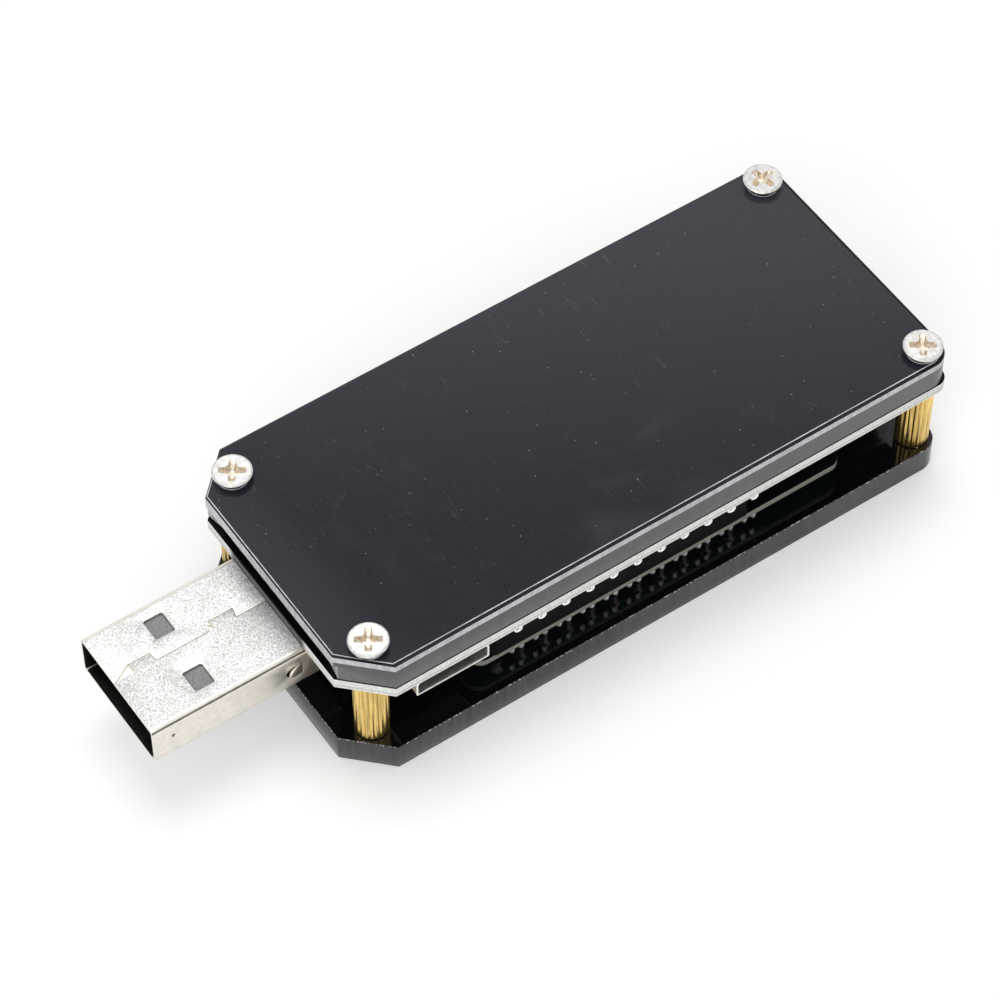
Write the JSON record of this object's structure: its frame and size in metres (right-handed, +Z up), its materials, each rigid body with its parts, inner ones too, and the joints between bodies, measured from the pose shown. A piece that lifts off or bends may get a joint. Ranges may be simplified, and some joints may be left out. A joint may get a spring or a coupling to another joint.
{
  "type": "usb power meter",
  "caption": "Pass-through USB power meter: two black plates on brass standoffs hold a board with a plug, a socket, a display and push buttons.",
  "frame": {"origin": "middle of the footprint, on the surface that the front plate rests on", "axes": "+X from the plug to the socket, +Y away from the micro USB socket, +Z up from the front plate to the back panel"},
  "size_m": [0.079, 0.0282, 0.0163],
  "materials": {
    "front_acrylic": "polished black acrylic, laser-cut edges",
    "clear_window": "clear acrylic",
    "display_frame": "moulded",
    "display_glass": "dark display, switched off",
    "circuit_board": "solder mask on glass fibre",
    "black_plastic": "moulded",
    "gold_pins": "gold plated",
    "solder": "bright solder",
    "black_sheet": "thin black film",
    "spacer_acrylic": "black acrylic, laser-cut edges",
    "panel_edge": "thin black sheet with a pale cut edge",
    "satin_film": "satin, lightly scratched",
    "brass": "straight knurl",
    "nickel_screws": "nickel plated",
    "nickel_shell": "nickel plated sheet",
    "spring_steel": "stamped sheet",
    "button_plastic": "moulded",
    "chip_case": "moulded epoxy",
    "ferrite": "pressed ferrite",
    "capacitor_ceramic": "fired ceramic with tinned ends"
  },
  "bodies": {
    "body": {"front_plate": "front_acrylic", "display_window": "clear_window", "display_frame": "display_frame", "display_glass": "display_glass", "display_board": "circuit_board", "header_strip": "black_plastic", "header_pins": "gold_pins", "display_solder": "solder", "board_solder": "solder", "edge_beads": "solder", "main_board": "circuit_board", "insulating_sheet": "black_sheet", "spacer_frame": "spacer_acrylic", "back_panel": "panel_edge", "cover_film": "satin_film", "standoffs": "brass", "back_screws": "nickel_screws", "front_screws": "nickel_screws", "plug_shell": "nickel_shell", "plug_core": "black_plastic", "plug_contacts": "gold_pins", "socket_shell": "nickel_shell", "socket_core": "black_plastic", "socket_contacts": "gold_pins", "micro_shell": "nickel_shell", "micro_core": "black_plastic", "micro_contacts": "gold_pins", "switch_bases": "black_plastic", "switch_domes": "spring_steel", "switch_covers": "spring_steel", "controller_chip": "chip_case", "controller_leads": "solder", "regulator_chip": "chip_case", "inductor": "ferrite", "shunt_resistor": "chip_case", "crystal": "spring_steel", "capacitors": "capacitor_ceramic"},
    "mode_button": {"mode_button": "button_plastic"},
    "select_button": {"select_button": "button_plastic"}
  },
  "joints": [
    {"name": "mode_press", "type": "slide", "parent": "body", "child": "mode_button", "axis": [0, 0, 1], "range_m": [0, 0.00025], "stiffness_N_per_m": 6400},
    {"name": "select_press", "type": "slide", "parent": "body", "child": "select_button", "axis": [0, 0, 1], "range_m": [0, 0.00025], "stiffness_N_per_m": 6400}
  ]
}
